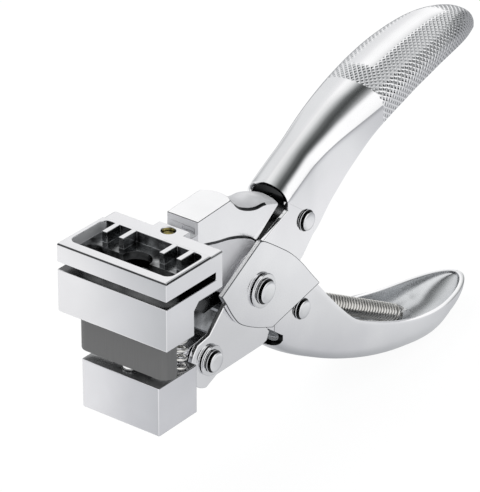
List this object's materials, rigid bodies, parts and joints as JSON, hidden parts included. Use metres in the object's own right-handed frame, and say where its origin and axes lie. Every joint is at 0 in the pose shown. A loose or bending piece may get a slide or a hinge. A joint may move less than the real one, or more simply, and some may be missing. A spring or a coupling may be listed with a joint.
{
  "type": "slot punch pliers",
  "caption": "Hand-held slot punch with a throated die head, a slot-shaped punch with a round hump, a pusher jaw, two channel handles on one pivot, a pull spring and return springs.",
  "frame": {"origin": "centre of the guide block's front face", "axes": "+Z along the punch's stroke towards the die, +X from the head to the handle tips, +Y to the far side in the picture"},
  "size_m": [0.168, 0.038, 0.1027],
  "materials": {
    "plated_body": "polished nickel-chrome plate",
    "plated_handle": "polished nickel-chrome plate",
    "punch_steel": "matt ground tool steel",
    "rivet_steel": "polished",
    "spring_steel": "drawn wire",
    "plug_brass": "dull"
  },
  "bodies": {
    "frame": {"head_casting": "plated_body", "die_plug": "plug_brass", "neck_cap": "plated_body", "lower_handle": "plated_handle", "lower_rivet_near": "rivet_steel", "lower_rivet_far": "rivet_steel", "pivot_pin": "rivet_steel", "pivot_washer_near": "rivet_steel", "pivot_washer_far": "rivet_steel", "spring_anchor": "rivet_steel", "handle_spring": "spring_steel", "return_spring_near": "spring_steel", "return_spring_far": "spring_steel"},
    "lever": {"upper_handle": "plated_handle", "upper_rivet": "rivet_steel", "handle_spacer": "rivet_steel", "spring_hook_pin": "rivet_steel", "jaw_pin": "rivet_steel", "jaw_washer_near": "rivet_steel", "jaw_washer_far": "rivet_steel"},
    "jaw": {"jaw_block": "plated_body", "pressure_button": "rivet_steel"},
    "punch_slide": {"punch": "punch_steel"}
  },
  "joints": [
    {"name": "squeeze", "type": "hinge", "parent": "frame", "child": "lever", "pos_m": [0.055, 0, -0.0143], "axis": [0, 1, 0], "range_deg": [0, 14], "stiffness_Nm_per_rad": 1.5, "springref_deg": -22.92, "deforming": ["handle_spring", "return_spring_near", "return_spring_far"]},
    {"name": "jaw_level", "type": "hinge", "parent": "lever", "child": "jaw", "pos_m": [0.0336, 0, -0.0278], "axis": [0, 1, 0], "range_deg": [-14, 0]},
    {"name": "punch_stroke", "type": "slide", "parent": "frame", "child": "punch_slide", "axis": [0, 0, 1], "range_m": [0, 0.0056]}
  ],
  "couplings": [
    {"joint": "jaw_level", "follows": "squeeze", "ratio": -1},
    {"joint": "punch_stroke", "follows": "squeeze", "m_per_rad": 0.0228}
  ]
}
